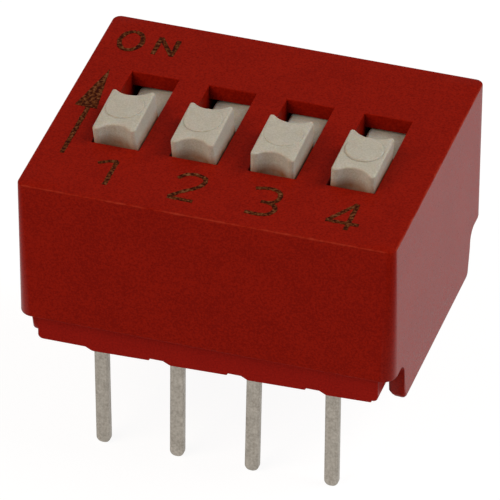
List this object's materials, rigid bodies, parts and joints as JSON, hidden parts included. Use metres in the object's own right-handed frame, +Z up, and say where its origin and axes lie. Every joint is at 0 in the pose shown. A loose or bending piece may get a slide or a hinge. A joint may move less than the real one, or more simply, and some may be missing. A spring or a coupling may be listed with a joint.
{
  "type": "dip switch",
  "caption": "Slide DIP switch for a circuit board: a red moulded housing on two rows of flat pins, with a row of ivory knobs that slide in slots between OFF and ON.",
  "frame": {"origin": "centre of the pin pattern, in the plane of the circuit board that the housing's feet stand on", "axes": "+X along the row of knobs, +Y from OFF towards ON, +Z up out of the board"},
  "size_m": [0.0122, 0.0098, 0.0108],
  "materials": {
    "red_cover": "moulded, fine matt grain",
    "red_base": "moulded, matt",
    "ivory_knob": "moulded, satin",
    "tinned_pin": "tinned copper alloy, dull",
    "contact_strip": "plated spring strip"
  },
  "bodies": {
    "housing": {"cover": "red_cover", "base": "red_base", "terminal_front_1": "tinned_pin", "terminal_front_2": "tinned_pin", "terminal_front_3": "tinned_pin", "terminal_front_4": "tinned_pin", "terminal_rear_1": "tinned_pin", "terminal_rear_2": "tinned_pin", "terminal_rear_3": "tinned_pin", "terminal_rear_4": "tinned_pin"},
    "slide_1": {"actuator_1": "ivory_knob", "contact_1": "contact_strip"},
    "slide_2": {"actuator_2": "ivory_knob", "contact_2": "contact_strip"},
    "slide_3": {"actuator_3": "ivory_knob", "contact_3": "contact_strip"},
    "slide_4": {"actuator_4": "ivory_knob", "contact_4": "contact_strip"}
  },
  "joints": [
    {"name": "switch_1", "type": "slide", "parent": "housing", "child": "slide_1", "axis": [0, 1, 0], "range_m": [0, 0.00188]},
    {"name": "switch_2", "type": "slide", "parent": "housing", "child": "slide_2", "axis": [0, 1, 0], "range_m": [0, 0.00188]},
    {"name": "switch_3", "type": "slide", "parent": "housing", "child": "slide_3", "axis": [0, 1, 0], "range_m": [0, 0.00188]},
    {"name": "switch_4", "type": "slide", "parent": "housing", "child": "slide_4", "axis": [0, 1, 0], "range_m": [0, 0.00188]}
  ]
}
